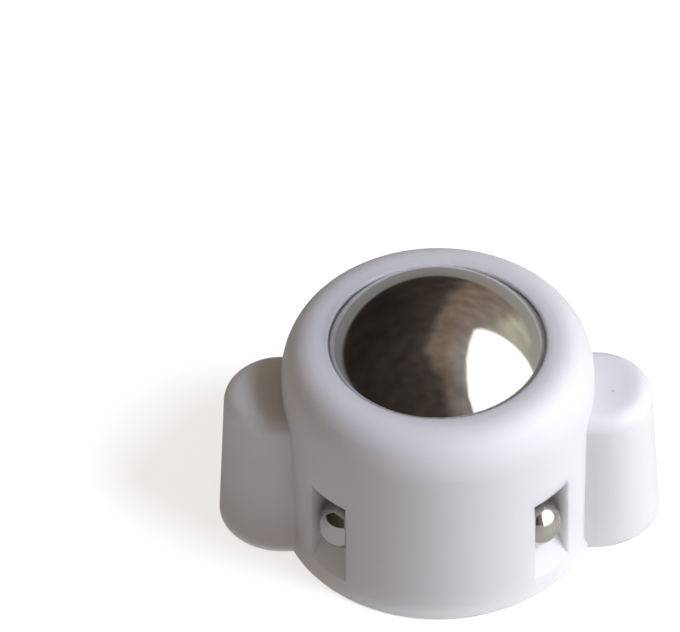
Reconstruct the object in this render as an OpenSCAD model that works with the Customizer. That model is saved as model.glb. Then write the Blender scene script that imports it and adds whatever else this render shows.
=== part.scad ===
// Ball transfer unit: one steel load ball held in a moulded housing with two screw ears,
// running on four small steel support balls that show through windows in the wall.
// Millimetres, +Z up. The origin is the centre of the base; the ears lie along X.

/* [Load ball] */
// Diameter of the load ball
load_ball_d = 12.7; // [10:0.1:16]
// Clearance all round the load ball inside the housing
ball_gap = 0.06; // [0.04:0.01:0.2]
// Thickness of the floor under the load ball
floor_t = 0.83; // [0.4:0.01:1.5]
// How far the lip of the mouth reaches in over the load ball, measured on the radius
lip_hold = 1.16; // [0.6:0.01:1.6]
// Rounding of the lip's inner edge
lip_round = 0.12; // [0.1:0.01:0.5]

/* [Support balls] */
// Diameter of one support ball
support_ball_d = 2.381; // [1.5:0.001:3]
// Angle below the horizontal at which the load ball rests on the support balls
support_contact_deg = 30; // [25:0.5:45]
// Direction of the first support ball, turned from +X
support_start_deg = 45; // [40:1:50]
// Running clearance between the load ball and a support ball
contact_gap = 0.01; // [0:0.005:0.03]
// Clearance round a support ball in its pocket
pocket_gap = 0.04; // [0.02:0.01:0.1]

/* [Windows] */
// How much narrower a window is than its support ball
window_grip = 0.06; // [0.05:0.01:0.4]
// Height of a window above its sill
window_h = 3.7; // [2.8:0.1:4.5]
// How steeply the sill falls to the foot, from level
sill_fall_deg = 55; // [40:1:70]
// Rounding between the level sill and its fall
sill_round = 0.35; // [0.1:0.05:0.5]

/* [Body] */
// Wall between the load ball's cavity and the outside, at the ball's centre
wall_t = 1.12; // [0.8:0.02:2]
// Draft of the body's wall
body_draft = 1.5; // [0.5:0.1:3]
// Radius of the crown's upper rounding
crown_top_r = 1.5; // [0.6:0.05:2]
// Radius of the crown's shoulder, where it runs into the wall
crown_side_r = 2.8; // [2.2:0.1:4]
// Angle from the vertical at which one crown radius meets the other
crown_split_deg = 60; // [35:1:65]
// How far the foot stands out from the wall
foot_out = 0.18; // [0.05:0.01:0.4]
// Height at which the wall starts to flare into the foot
foot_flare_h = 0.9; // [0.6:0.05:1.4]
// Radius of the flare
foot_flare_r = 1.4; // [1:0.1:3]
// Bevel round the bottom edge
foot_bevel = 0.12; // [0.05:0.01:0.2]

/* [Ears] */
// Wall between the load ball's cavity and a pilot hole, if the hole ran up to the ball's centre
hole_wall = 0.44; // [0.4:0.01:2]
// Radius of an ear at the base
ear_base_r = 3.25; // [2.4:0.05:4]
// How far an ear's top lies below the crown
ear_drop = 3.16; // [1.5:0.01:5]
// Draft of an ear
ear_draft = 4.5; // [1:0.1:6]
// Rounding of an ear's top edge
ear_round = 0.8; // [0.3:0.05:1]
// Radius of the pilot hole for a self-tapping screw
pilot_r = 0.8; // [0.6:0.05:1.2]
// Depth of the pilot hole
pilot_depth = 5.5; // [3:0.1:6.5]

/* [Hidden] */
$fn = 96;
eps = 0.5; // how far a cutter runs past the face that it opens
graze = 0.0005; // how far a rounding stands past what it meets, so that the two cross cleanly
run_on_deg = 6; // how far the cut of a wide arc runs on over a tighter one

support_count = 4;
load_r = load_ball_d / 2;
support_r = support_ball_d / 2;
cavity_r = load_r + ball_gap;
ball_z = floor_t + cavity_r;

// The lip's rounding touches the cavity's sphere and the crown's top.
lip_x = load_r - lip_hold + lip_round;
lip_z = ball_z + sqrt(pow(cavity_r + lip_round - graze, 2) - pow(lip_x, 2));
body_h = lip_z + lip_round - graze;

// Support balls: where they touch the load ball, and the pockets round them.
contact_span = load_r + support_r + contact_gap;
support_ring_r = contact_span * cos(support_contact_deg);
support_z = ball_z - contact_span * sin(support_contact_deg);
pocket_r = support_r + pocket_gap;
sill_z = support_z - support_r - contact_gap;
window_w = support_ball_d - window_grip;

// Body: the wall's radius grows downwards with the draft.
body_r = cavity_r + wall_t;
base_r = body_r + ball_z * tan(body_draft);
function wall_r(z) = base_r - z * tan(body_draft);
foot_r = wall_r(0) + foot_out;

// Crown: two tangent arcs, a small one off the top and a large one into the wall.
arc_span = crown_side_r - crown_top_r + graze;
top_z = body_h - crown_top_r + graze;
side_z = top_z - arc_span * cos(crown_split_deg);
side_x = wall_r(side_z) - (crown_side_r - graze) / cos(body_draft);
top_x = side_x + arc_span * sin(crown_split_deg);
// Where the crown's tangent at the split meets the top and the wall
split_corner = [top_x + crown_top_r * tan(crown_split_deg / 2), body_h];
shoulder_half = (90 - body_draft - crown_split_deg) / 2;
shoulder_corner = polar(
    [side_x, side_z],
    (crown_side_r - graze) / cos(shoulder_half),
    crown_split_deg + shoulder_half
);

// Ears
ear_x = cavity_r + hole_wall + pilot_r;
ear_h = body_h - ear_drop;
function ear_r(z) = ear_base_r - z * tan(ear_draft);
ear_round_z = ear_h - ear_round + graze;
ear_round_x = ear_r(ear_round_z) - (ear_round - graze) / cos(ear_draft);

housing_colour = "whitesmoke";
ball_colour = "silver";

// A point at a distance from a centre, its direction turned from the vertical.
function polar(c, r, deg) = [c[0] + r * sin(deg), c[1] + r * cos(deg)];

// What a rounding takes off a corner: the wedge between two directions, outside its arc.
module corner_cut(c, r, from_deg, to_deg) {
    reach = r / cos((to_deg - from_deg) / 2) + eps;
    difference() {
        polygon([c, polar(c, reach, from_deg), polar(c, reach, to_deg)]);
        translate(c) circle(r = r);
    }
}

// Half section of the body.
module body_section() {
    flare = [wall_r(foot_flare_h), foot_flare_h];
    difference() {
        polygon([
            [0, 0],
            [foot_r - foot_bevel, 0],
            [foot_r, foot_bevel],
            [foot_r, foot_flare_h],
            flare,
            shoulder_corner,
            split_corner,
            [0, body_h]
        ]);
        corner_cut([side_x, side_z], crown_side_r, crown_split_deg - run_on_deg, 90 - body_draft);
        corner_cut([top_x, top_z], crown_top_r, 0, crown_split_deg);
        translate(polar(flare, foot_flare_r - graze, 90 - body_draft)) circle(r = foot_flare_r);
    }
}

module body() {
    rotate_extrude() body_section();
}

// Half section of an ear, from its own centre line out.
module ear_section() {
    difference() {
        polygon([
            [0, 0],
            [ear_base_r, 0],
            [ear_r(ear_h), ear_h],
            [0, ear_h]
        ]);
        corner_cut([ear_round_x, ear_round_z], ear_round, 0, 90 - ear_draft);
    }
}

// One ear on the +X side: a drafted round boss, run straight back into the body.
module ear() {
    translate([ear_x, 0, 0]) {
        rotate([0, 0, -90]) rotate_extrude(angle = 180) ear_section();
        rotate([90, 0, -90]) linear_extrude(height = ear_x - cavity_r / 2) {
            union() {
                ear_section();
                mirror([1, 0]) ear_section();
            }
        }
    }
}

// The room for the load ball, with the rounded lip of its mouth.
module ball_cavity() {
    lip = [lip_x, lip_z];
    inside = [lip_x / 2, (ball_z + lip_z) / 2];
    rotate_extrude() {
        union() {
            intersection() {
                translate([0, ball_z]) circle(r = cavity_r);
                square([cavity_r + eps, body_h + cavity_r]);
            }
            difference() {
                polygon([
                    [0, inside[1]],
                    inside,
                    lip,
                    [lip_x, body_h + eps],
                    [0, body_h + eps]
                ]);
                translate(lip) circle(r = lip_round);
            }
        }
    }
}

// Section of a window along its middle, with heights from its sill: the sill is level
// under the ball, then rounds over and falls to the foot.
module window_section() {
    far_x = foot_r + eps;
    foot_dz = foot_flare_h - sill_z;
    brink_x = wall_r(foot_flare_h) + foot_dz / tan(sill_fall_deg);
    round_c = [brink_x - sill_round * tan(sill_fall_deg / 2), graze - sill_round];
    union() {
        polygon([
            [support_ring_r, 0],
            [brink_x, 0],
            [brink_x - foot_dz / tan(sill_fall_deg), foot_dz],
            [far_x, foot_dz],
            [far_x, window_h],
            [support_ring_r, window_h]
        ]);
        corner_cut(round_c, sill_round, 0, sill_fall_deg);
    }
}

// Room for one support ball on the +X side: a round pocket open to the cavity, with a
// window through the wall that is narrower than the ball.
module support_pocket() {
    mouth_w = (pocket_r - graze) * 2;
    translate([0, 0, sill_z]) {
        translate([support_ring_r, 0, 0]) cylinder(r = pocket_r, h = window_h);
        translate([cavity_r / 2, -mouth_w / 2, 0])
            cube([support_ring_r - cavity_r / 2, mouth_w, window_h]);
        translate([0, window_w / 2, 0])
            rotate([90, 0, 0])
            linear_extrude(height = window_w)
            window_section();
    }
}

module pilot_hole() {
    translate([ear_x, 0, -eps]) cylinder(r = pilot_r, h = pilot_depth + eps);
}

module housing() {
    color(housing_colour)
    difference() {
        union() {
            body();
            ear();
            mirror([1, 0, 0]) ear();
        }
        ball_cavity();
        for (i = [0 : support_count - 1]) {
            rotate([0, 0, support_start_deg + i * 360 / support_count]) support_pocket();
        }
        pilot_hole();
        mirror([1, 0, 0]) pilot_hole();
    }
}

module load_ball() {
    color(ball_colour) translate([0, 0, ball_z]) sphere(d = load_ball_d);
}

module support_ball(i) {
    rotate([0, 0, support_start_deg + i * 360 / support_count])
        translate([support_ring_r, 0, support_z])
        color(ball_colour)
        sphere(d = support_ball_d);
}

housing();
load_ball();
support_ball(0);  // support_ball_1
support_ball(1);  // support_ball_2
support_ball(2);  // support_ball_3
support_ball(3);  // support_ball_4
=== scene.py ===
import math

import bpy
from mathutils import Matrix, Vector


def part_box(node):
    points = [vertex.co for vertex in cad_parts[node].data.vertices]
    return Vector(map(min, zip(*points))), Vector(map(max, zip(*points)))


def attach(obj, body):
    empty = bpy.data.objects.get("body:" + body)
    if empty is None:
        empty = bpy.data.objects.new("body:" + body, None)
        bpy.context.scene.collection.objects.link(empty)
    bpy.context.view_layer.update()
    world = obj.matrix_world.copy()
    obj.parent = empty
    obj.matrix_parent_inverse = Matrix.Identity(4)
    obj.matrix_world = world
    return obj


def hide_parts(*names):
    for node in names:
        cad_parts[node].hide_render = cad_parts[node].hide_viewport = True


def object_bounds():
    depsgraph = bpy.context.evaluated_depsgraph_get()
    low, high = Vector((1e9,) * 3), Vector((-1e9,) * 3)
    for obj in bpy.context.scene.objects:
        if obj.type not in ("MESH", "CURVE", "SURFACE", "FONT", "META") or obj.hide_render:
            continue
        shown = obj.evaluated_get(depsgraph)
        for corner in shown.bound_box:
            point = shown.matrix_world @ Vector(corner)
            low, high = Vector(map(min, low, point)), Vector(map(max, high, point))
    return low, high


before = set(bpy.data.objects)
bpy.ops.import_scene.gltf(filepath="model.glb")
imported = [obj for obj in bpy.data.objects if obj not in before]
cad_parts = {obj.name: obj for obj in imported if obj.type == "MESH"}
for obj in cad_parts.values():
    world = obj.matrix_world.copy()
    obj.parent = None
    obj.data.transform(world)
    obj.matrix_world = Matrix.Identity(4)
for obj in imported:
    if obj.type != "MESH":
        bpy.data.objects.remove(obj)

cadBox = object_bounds()
mm = 0.001
white = (1, 1, 1, 1)
black = (0, 0, 0, 1)
noiseMiddle = (0.3, 0.7)  # most of a noise's values lie between these


def addNode(tree, kind, **values):
    # values go to the node's own settings where it has one of that name, else to its input socket
    made = tree.nodes.new(kind)
    for name, value in values.items():
        if hasattr(made, name):
            setattr(made, name, value)
        else:
            made.inputs[name.replace("_", " ")].default_value = value
    return made


def feed(tree, source, socket):
    # another node's output is linked, and anything else becomes the socket's own value
    if isinstance(source, bpy.types.NodeSocket):
        tree.links.new(source, socket)
    else:
        socket.default_value = source


def calc(tree, operation, *terms):
    # one step of arithmetic on numbers and on other nodes' outputs
    made = addNode(tree, "ShaderNodeMath", operation=operation)
    for socket, term in zip(made.inputs, terms):
        feed(tree, term, socket)
    return made.outputs["Value"]


def vectorCalc(tree, operation, *terms):
    # the same for vectors
    made = addNode(tree, "ShaderNodeVectorMath", operation=operation)
    for socket, term in zip(made.inputs, terms):
        feed(tree, term, socket)
    return made.outputs["Value" if operation in ("DISTANCE", "LENGTH") else "Vector"]


def scaled(tree, vector, amount):
    # a vector or a colour, times a number or another node's output
    made = addNode(tree, "ShaderNodeVectorMath", operation="SCALE")
    feed(tree, vector, made.inputs[0])
    feed(tree, amount, made.inputs["Scale"])
    return made.outputs["Vector"]


def stretched(tree, value, low, high, first=0.0, last=1.0):
    # value's range from low to high is carried over to first..last, and held at both ends
    made = addNode(tree, "ShaderNodeMapRange",
                   From_Min=low, From_Max=high, To_Min=first, To_Max=last)
    tree.links.new(value, made.inputs["Value"])
    return made.outputs["Result"]


def noise(tree, place, scale, detail):
    made = addNode(tree, "ShaderNodeTexNoise", Scale=scale, Detail=detail)
    tree.links.new(place, made.inputs["Vector"])
    return made.outputs["Fac"]


def blended(tree, factor, first, second):
    # from the first colour, at 0, to the second, at 1
    made = addNode(tree, "ShaderNodeMix", data_type="RGBA")
    feed(tree, factor, made.inputs["Factor"])
    feed(tree, first, made.inputs[6])  # this node keeps its colours on sockets 6, 7 and 2
    feed(tree, second, made.inputs[7])
    return made.outputs[2]


def colourRamp(tree, value, stops):
    # the colours in stops, each at its own value
    low = stops[0][0]
    high = stops[-1][0]
    made = addNode(tree, "ShaderNodeValToRGB")
    points = made.color_ramp.elements
    while len(points) < len(stops):
        points.new(1.0)
    for point, (place, colour) in zip(points, stops):
        point.position = (place - low) / (high - low)
        point.color = colour
    tree.links.new(stretched(tree, value, low, high), made.inputs["Fac"])
    return made.outputs["Color"]


def mixedShader(tree, factor, first, second):
    made = addNode(tree, "ShaderNodeMixShader")
    for socket, source in zip(made.inputs, (factor, first, second)):
        tree.links.new(source, socket)
    return made.outputs["Shader"]


def newMaterial(name):
    material = bpy.data.materials.new(name)
    material.use_nodes = True
    material.node_tree.nodes.clear()
    return material, material.node_tree


def towards(azimuth, elevation):
    # unit vector seen from the part: azimuth 0 is the front, 90 the right-hand ear's side
    a = math.radians(azimuth)
    e = math.radians(elevation)
    return Vector((math.sin(a) * math.cos(e), -math.cos(a) * math.cos(e), math.sin(e)))


def facing(direction):
    # the turn that points a camera or a lamp that way
    return direction.to_track_quat("-Z", "Y").to_matrix().to_4x4()


def addObject(name, data):
    obj = bpy.data.objects.new(name, data)
    bpy.context.scene.collection.objects.link(obj)
    return obj


# Where the part is looked at from: above its front. Angles are in degrees.
viewpoint = {
    "azimuth": -0.29,
    "elevation": 46.83,
    "distance": 177.14 * mm,
    "lens": 188.9,  # millimetres
    "aimAcross": -4.82 * mm,  # the part stands right of and below the middle of the view
    "aimUp": 9.23 * mm,
    "roll": -2.16,
    "clipStart": 0.01,
    "clipEnd": 10,
}


def makeCamera():
    v = viewpoint
    back = towards(v["azimuth"], v["elevation"])
    across = towards(v["azimuth"] + 90, 0)
    aim = across * v["aimAcross"] + back.cross(across) * v["aimUp"]
    data = bpy.data.cameras.new("camera")
    data.lens = v["lens"]
    data.clip_start = v["clipStart"]
    data.clip_end = v["clipEnd"]
    camera = addObject("camera", data)
    spot = back * v["distance"]
    roll = Matrix.Rotation(math.radians(v["roll"]), 4, "Z")
    camera.matrix_world = Matrix.Translation(spot) @ facing(aim - spot) @ roll
    bpy.context.scene.camera = camera


makeCamera()
print("camera placed")


def cloudedSurface(name, values):
    # gloss and tint drift in soft clouds, under a fine grain; the caller joins up the tint
    material, tree = newMaterial(name)
    place = addNode(tree, "ShaderNodeTexCoord").outputs["Object"]
    clouds = noise(tree, place, values["cloudScale"], values["cloudDetail"])
    grain = noise(tree, place, values["grainScale"], values["grainDetail"])
    tint = blended(tree, clouds, values["colour"], values["cloudColour"])
    gloss = stretched(tree, clouds, *noiseMiddle, values["roughnessLow"], values["roughnessHigh"])
    bump = addNode(tree, "ShaderNodeBump", Strength=1.0, Distance=values["grainHeight"])
    shader = addNode(tree, "ShaderNodeBsdfPrincipled")
    out = addNode(tree, "ShaderNodeOutputMaterial")
    tree.links.new(gloss, shader.inputs["Roughness"])
    tree.links.new(grain, bump.inputs["Height"])
    tree.links.new(bump.outputs["Normal"], shader.inputs["Normal"])
    tree.links.new(shader.outputs["BSDF"], out.inputs["Surface"])
    return material, tree, tint, shader


# The balls' polished bearing steel, with a faint haze and ripple.
steel = {
    "colour": (0.58, 0.57, 0.56, 1),
    "cloudColour": (0.55, 0.54, 0.53, 1),
    "cloudScale": 420,  # per metre
    "cloudDetail": 4.0,
    "grainScale": 900,
    "grainDetail": 3.0,
    "grainHeight": 0.0004 * mm,
    "roughnessLow": 0.06,
    "roughnessHigh": 0.11,
}


def polishedSteel():
    material, tree, tint, shader = cloudedSurface("polishedSteel", steel)
    shader.inputs["Metallic"].default_value = 1.0
    tree.links.new(tint, shader.inputs["Base Color"])
    return material


# How often the cube's faces are halved.
ballMesh = {
    "loadSubdivisions": 6,
    "supportSubdivisions": 5,
}


def ballTree(material):
    # an evenly divided ball: a cube's faces spread by their tangents, then blown out to the radius
    tree = bpy.data.node_groups.new("bearingBall", "GeometryNodeTree")
    sockets = tree.interface
    sockets.new_socket("Geometry", in_out="OUTPUT", socket_type="NodeSocketGeometry")
    sockets.new_socket("Radius", in_out="INPUT", socket_type="NodeSocketFloat")
    sockets.new_socket("Centre", in_out="INPUT", socket_type="NodeSocketVector")
    sockets.new_socket("Subdivisions", in_out="INPUT", socket_type="NodeSocketInt")
    given = addNode(tree, "NodeGroupInput").outputs
    spot = addNode(tree, "GeometryNodeInputPosition").outputs["Position"]
    spread = vectorCalc(tree, "TANGENT", scaled(tree, spot, math.pi / 2))
    outward = scaled(tree, vectorCalc(tree, "NORMALIZE", spread), given["Radius"])
    cube = addNode(tree, "GeometryNodeMeshCube")
    divided = addNode(tree, "GeometryNodeSubdivideMesh")
    shaped = addNode(tree, "GeometryNodeSetPosition")
    smooth = addNode(tree, "GeometryNodeSetShadeSmooth")
    whole = addNode(tree, "GeometryNodeRealizeInstances")
    finish = addNode(tree, "GeometryNodeSetMaterial", Material=material)
    result = addNode(tree, "NodeGroupOutput")
    tree.links.new(cube.outputs["Mesh"], divided.inputs["Mesh"])
    tree.links.new(given["Subdivisions"], divided.inputs["Level"])
    tree.links.new(vectorCalc(tree, "ADD", outward, given["Centre"]), shaped.inputs["Position"])
    chain = [divided, shaped, smooth, whole, finish, result]
    for before, after in zip(chain, chain[1:]):
        tree.links.new(before.outputs[0], after.inputs["Geometry"])
    return tree


def bearingBall(name, node, tree, subdivisions):
    low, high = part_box(node)
    ball = addObject(name, bpy.data.meshes.new(name))
    growth = ball.modifiers.new("growth", "NODES")
    growth.node_group = tree
    wanted = {
        "Radius": (high.z - low.z) / 2,
        "Centre": (low + high) / 2,
        "Subdivisions": subdivisions,
    }
    for item in tree.interface.items_tree:
        if item.in_out == "INPUT":
            growth[item.identifier] = wanted[item.name]
    bpy.context.view_layer.update()
    ready = ball.evaluated_get(bpy.context.evaluated_depsgraph_get())
    ball.data = bpy.data.meshes.new_from_object(ready)
    ball.data.name = name
    ball.modifiers.clear()
    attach(ball, node)
    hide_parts(node)


def makeBalls():
    tree = ballTree(polishedSteel())
    bearingBall("loadBall", "load_ball", tree, ballMesh["loadSubdivisions"])
    for node in sorted(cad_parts):
        if node.startswith("support_ball"):
            name = "supportBall" + node[-1]
            bearingBall(name, node, tree, ballMesh["supportSubdivisions"])


makeBalls()
print("balls made")


# The housing's off-white nylon: a soft sheen, with faint clouds in the moulding.
nylon = {
    "colour": (0.80, 0.795, 0.80, 1),
    "cloudColour": (0.77, 0.765, 0.77, 1),
    "cloudScale": 260,  # per metre
    "cloudDetail": 3.0,
    "grainScale": 5200,
    "grainDetail": 2.0,
    "grainHeight": 0.004 * mm,
    "roughnessLow": 0.36,
    "roughnessHigh": 0.46,
    "ior": 1.53,
    "glowWeight": 0.85,  # light that soaks into the moulding
    "glowDepth": 1.3 * mm,
    "glowColour": (1.0, 0.96, 0.93),
    "speckSpot": (8.37 * mm, -0.46 * mm, 8.0 * mm),  # a tiny dark mark on one ear's top
    "speckRadius": 0.11 * mm,
    "speckCore": 0.4,  # the part of the radius within which it's at its darkest
    "speckColour": (0.55, 0.55, 0.55, 1),
}


def mouldedNylon():
    n = nylon
    material, tree, tint, shader = cloudedSurface("mouldedNylon", n)
    shader.subsurface_method = "RANDOM_WALK"
    shader.inputs["IOR"].default_value = n["ior"]
    shader.inputs["Subsurface Weight"].default_value = n["glowWeight"]
    shader.inputs["Subsurface Scale"].default_value = n["glowDepth"]
    shader.inputs["Subsurface Radius"].default_value = n["glowColour"]
    place = addNode(tree, "ShaderNodeTexCoord").outputs["Object"]
    away = vectorCalc(tree, "DISTANCE", place, n["speckSpot"])
    speck = stretched(tree, away, n["speckRadius"], n["speckRadius"] * n["speckCore"])
    tree.links.new(blended(tree, speck, tint, n["speckColour"]), shader.inputs["Base Color"])
    return material


def finishHousing():
    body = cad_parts["housing"]
    body.data.materials.clear()
    body.data.materials.append(mouldedNylon())


finishHousing()
print("housing finished")


# The floor, the light and the lamps, in metres, degrees and watts.
studio = {
    "floorSize": 1.2,
    "floorDrop": 0.002 * mm,  # how far the floor lies under the part
    "floorColour": (0.70, 0.70, 0.70, 1),
    "floorLift": 0.70,  # what the paper adds of its own where it's looked at
    "standingReach": 0.02 * mm,  # the underside doesn't meet the floor nearer than this
    "ambient": (0.195, 0.160, 0.122, 1),  # warm light from all round
    "underLight": (0.55, 0.55, 0.55, 1),  # reaches the part only where it's seen from below
    "underStart": (-0.02, -0.3),  # height of the direction where it sets in, and where it's full
    "lampDistance": 0.5,
    "lowLamp": {
        "azimuth": 72,
        "elevation": 10,
        "size": 0.34,
        "power": 1.205,
        "colour": (1.0, 0.94, 0.74),
    },
    "highLamp": {
        "azimuth": 72,
        "elevation": 45,
        "size": 0.24,
        "power": 2.23,
        "colour": (0.73, 0.79, 1.0),
    },
}


def whiteToCamera(tree):
    # 1 for what the camera, a mirror or glass looks at, else 0
    path = addNode(tree, "ShaderNodeLightPath").outputs
    direct = calc(tree, "MAXIMUM", path["Is Camera Ray"], path["Is Glossy Ray"])
    return calc(tree, "MAXIMUM", direct, path["Is Transmission Ray"])


def makeBackground():
    world = bpy.data.worlds.new("background")
    bpy.context.scene.world = world
    world.use_nodes = True
    tree = world.node_tree
    tree.nodes.clear()
    place = addNode(tree, "ShaderNodeTexCoord")
    parts = addNode(tree, "ShaderNodeSeparateXYZ")
    seen = addNode(tree, "ShaderNodeBackground", Color=white, Strength=1.0)
    felt = addNode(tree, "ShaderNodeBackground", Strength=1.0)
    out = addNode(tree, "ShaderNodeOutputWorld")
    tree.links.new(place.outputs["Generated"], parts.inputs["Vector"])
    under = stretched(tree, parts.outputs["Z"], *studio["underStart"])
    light = blended(tree, under, studio["ambient"], studio["underLight"])
    tree.links.new(light, felt.inputs["Color"])
    either = mixedShader(tree, whiteToCamera(tree), felt.outputs[0], seen.outputs[0])
    tree.links.new(either, out.inputs["Surface"])


def floorPaper():
    material, tree = newMaterial("floorPaper")
    paper = addNode(tree, "ShaderNodeBsdfDiffuse", Color=studio["floorColour"])
    lift = addNode(tree, "ShaderNodeEmission", Color=white, Strength=studio["floorLift"])
    lifted = addNode(tree, "ShaderNodeAddShader")
    clear = addNode(tree, "ShaderNodeBsdfTransparent")
    side = addNode(tree, "ShaderNodeNewGeometry")
    path = addNode(tree, "ShaderNodeLightPath")
    out = addNode(tree, "ShaderNodeOutputMaterial")
    tree.links.new(paper.outputs[0], lifted.inputs[0])
    tree.links.new(lift.outputs[0], lifted.inputs[1])
    either = mixedShader(tree, whiteToCamera(tree), paper.outputs[0], lifted.outputs[0])
    # clear from below, and to the underside that stands on it
    standing = calc(tree, "LESS_THAN", path.outputs["Ray Length"], studio["standingReach"])
    under = calc(tree, "MAXIMUM", side.outputs["Backfacing"], standing)
    tree.links.new(mixedShader(tree, under, either, clear.outputs[0]), out.inputs["Surface"])
    return material


def makeFloor():
    half = studio["floorSize"] / 2
    corners = [(-half, -half, 0), (half, -half, 0), (half, half, 0), (-half, half, 0)]
    mesh = bpy.data.meshes.new("floor")
    mesh.from_pydata(corners, [], [(0, 1, 2, 3)])
    mesh.materials.append(floorPaper())
    floor = addObject("floor", mesh)
    floor.location.z = cadBox[0].z - studio["floorDrop"]
    floor.visible_glossy = False  # reflections show the room's table top instead


def softLamp(name):
    lamp = studio[name]
    data = bpy.data.lights.new(name, "AREA")
    data.shape = "DISK"
    data.size = lamp["size"]
    data.energy = lamp["power"]
    data.color = lamp["colour"]
    back = towards(lamp["azimuth"], lamp["elevation"])
    obj = addObject(name, data)
    obj.matrix_world = Matrix.Translation(back * studio["lampDistance"]) @ facing(-back)
    obj.visible_camera = False
    obj.visible_glossy = False


# What only reflections show: a window to the right, in a dark room with a tan ceiling.
# Places in the room are parts of a unit direction: right, back and up.
room = {
    "windowDistance": 0.5,
    "windowStrength": 1.9,
    "windowCorners": [  # azimuth and elevation
        (33, 12), (35, 41), (45, 55), (68, 65), (103, 65), (127, 56),
        (127, 50), (120, 39), (113, 26), (107, 14), (102, 6), (80, 4),
    ],
    "wallDistance": 0.8,
    "wallFoot": -8,  # elevation of the walls' lowest edge
    "wallSteps": 48,  # faces round the walls
    "wallRings": 18,  # and from their foot to the top
    "ceilingEdge": (0.38, -0.20),  # how far right the tan ceiling starts: slope, middle
    "edgeSharpness": (0.7, 1.3),  # of that edge: slope from front to back, middle
    "edgeRaggedness": 0.16,
    "paint": [  # from far left of the ceiling's edge to far right of it
        (-1.0, (0.028, 0.022, 0.017, 1)),
        (-0.25, (0.059, 0.048, 0.039, 1)),
        (-0.05, (0.078, 0.065, 0.056, 1)),
        (0.06, (0.156, 0.128, 0.108, 1)),
        (0.13, (0.255, 0.190, 0.143, 1)),
        (0.30, (0.290, 0.212, 0.158, 1)),
        (0.60, (0.320, 0.250, 0.207, 1)),
        (0.95, (0.360, 0.307, 0.250, 1)),
        (1.14, (0.670, 0.660, 0.490, 1)),
        (1.60, (0.540, 0.520, 0.410, 1)),
    ],
    "haze": (0.42, 0.39, 0.375, 1),  # pale haze beside the window
    "hazeRight": (0.1, 0.38),  # where it sets in to the right, and where it's full
    "hazeBack": (0.35, -0.1),  # and the same towards the front
    "shadeRight": (-0.05, 0.12),  # a dimmer wall between the window and the front
    "shadeBack": (-0.2, -0.55),
    "shadeDepth": 0.3,
    "mottleScale": 6.0,
    "mottleDetail": 5.0,
    "mottleStrength": (0.78, 1.24),
    "table": [  # from left to right
        (-1.0, (0.28, 0.275, 0.285, 1)),
        (0.0, (0.29, 0.28, 0.275, 1)),
        (1.0, (0.52, 0.51, 0.45, 1)),
    ],
    "tableBack": (0.3, -0.5),  # where the table starts to brighten, and where it's brightest
    "tableFront": 1.6,  # how much brighter it is there
    "tableRadius": 0.2,
    "tableSteps": 48,
    "tableDrop": 0.001 * mm,  # how far the table lies under the part
    "tableMiddle": 0.014,  # nearer the part than this, the table's tone evens out
    "tableEdge": (-0.185, 0.22),  # height where the walls take over: slope to the back, middle
    "tableBlur": 0.03,
}


def shining(tree, colour, strength=1.0):
    glow = addNode(tree, "ShaderNodeEmission", Strength=strength)
    out = addNode(tree, "ShaderNodeOutputMaterial")
    feed(tree, colour, glow.inputs["Color"])
    tree.links.new(glow.outputs["Emission"], out.inputs["Surface"])


def headings(tree):
    # the direction from the part's base, then how far it points right, back and up
    place = addNode(tree, "ShaderNodeTexCoord").outputs["Object"]
    reach = calc(tree, "MAXIMUM", vectorCalc(tree, "LENGTH", place), room["tableMiddle"])
    heading = scaled(tree, place, calc(tree, "DIVIDE", 1.0, reach))
    parts = addNode(tree, "ShaderNodeSeparateXYZ")
    tree.links.new(heading, parts.inputs["Vector"])
    return heading, parts.outputs["X"], parts.outputs["Y"], parts.outputs["Z"]


def tableTone(tree, right, back):
    light = stretched(tree, back, *room["tableBack"], 1.0, room["tableFront"])
    return scaled(tree, colourRamp(tree, right, room["table"]), light)


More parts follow.
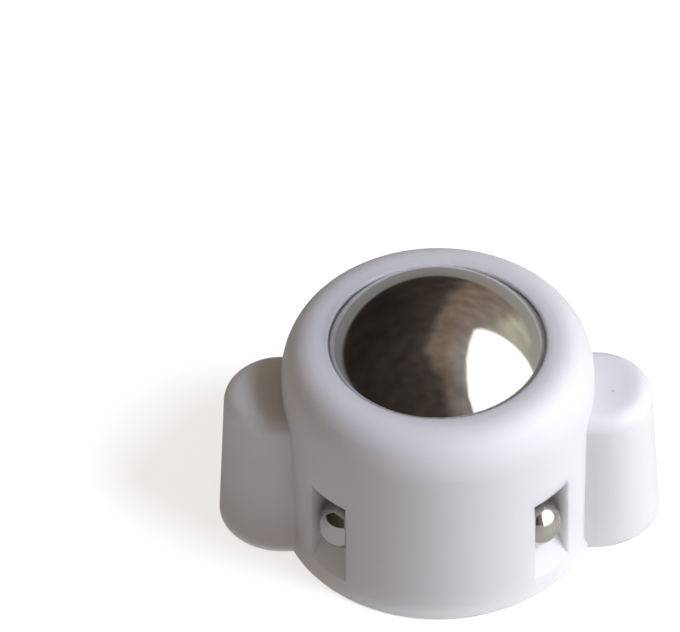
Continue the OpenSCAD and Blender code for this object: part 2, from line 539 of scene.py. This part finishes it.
def wallPaint():
    r = room
    material, tree = newMaterial("wallPaint")
    heading, right, back, up = headings(tree)
    patches = noise(tree, heading, r["mottleScale"], r["mottleDetail"])
    edge = calc(tree, "MULTIPLY_ADD", calc(tree, "ABSOLUTE", back), *r["ceilingEdge"])
    sharpness = calc(tree, "MULTIPLY_ADD", back, *r["edgeSharpness"])
    beyond = calc(tree, "MULTIPLY", calc(tree, "SUBTRACT", right, edge), sharpness)
    ragged = calc(tree, "MULTIPLY", calc(tree, "SUBTRACT", patches, 0.5), r["edgeRaggedness"])
    paint = colourRamp(tree, calc(tree, "ADD", beyond, ragged), r["paint"])
    haze = calc(tree, "MULTIPLY", stretched(tree, right, *r["hazeRight"]),
                stretched(tree, back, *r["hazeBack"]))
    paint = blended(tree, haze, paint, r["haze"])
    shade = calc(tree, "MULTIPLY", stretched(tree, right, *r["shadeRight"]),
                 stretched(tree, back, *r["shadeBack"], 0.0, r["shadeDepth"]))
    paint = blended(tree, shade, paint, black)
    paint = scaled(tree, paint, stretched(tree, patches, *noiseMiddle, *r["mottleStrength"]))
    lift = calc(tree, "SUBTRACT", up, calc(tree, "MULTIPLY_ADD", back, *r["tableEdge"]))
    above = stretched(tree, lift, -r["tableBlur"], r["tableBlur"])
    shining(tree, blended(tree, above, tableTone(tree, right, back), paint))
    return material


def tablePaint():
    material, tree = newMaterial("tablePaint")
    right, back = headings(tree)[1:3]
    shining(tree, tableTone(tree, right, back))
    return material


def windowLight():
    material, tree = newMaterial("windowLight")
    shining(tree, white, room["windowStrength"])
    return material


def addReflected(name, points, faces, material):
    # a mesh that only reflections show
    mesh = bpy.data.meshes.new(name)
    mesh.from_pydata(points, [], faces)
    mesh.materials.append(material)
    obj = addObject(name, mesh)
    obj.visible_camera = False
    obj.visible_diffuse = False
    obj.visible_transmission = False
    obj.visible_volume_scatter = False
    obj.visible_shadow = False
    return obj


def ringOfPoints(steps, elevation, distance):
    return [towards(360 * s / steps, elevation) * distance for s in range(steps)]


def makeWindow():
    corners = [towards(a, e) * room["windowDistance"] for a, e in room["windowCorners"]]
    addReflected("window", corners, [tuple(range(len(corners)))], windowLight())


def makeWalls():
    steps = room["wallSteps"]
    rings = room["wallRings"]
    points = []
    faces = []
    for ring in range(rings + 1):
        elevation = room["wallFoot"] + (90 - room["wallFoot"]) * ring / rings
        points += ringOfPoints(steps, elevation, room["wallDistance"])
    for low in range(0, rings * steps, steps):
        high = low + steps
        for s in range(steps):
            t = (s + 1) % steps
            faces.append((low + s, low + t, high + t, high + s))
    addReflected("walls", points, faces, wallPaint())


def makeTable():
    points = ringOfPoints(room["tableSteps"], 0, room["tableRadius"])
    table = addReflected("table", points, [tuple(range(len(points)))], tablePaint())
    table.location.z = cadBox[0].z - room["tableDrop"]


makeBackground()
makeFloor()
softLamp("lowLamp")
softLamp("highLamp")
makeWindow()
makeWalls()
makeTable()
bpy.context.scene.view_settings.view_transform = "Standard"
print("studio set up")
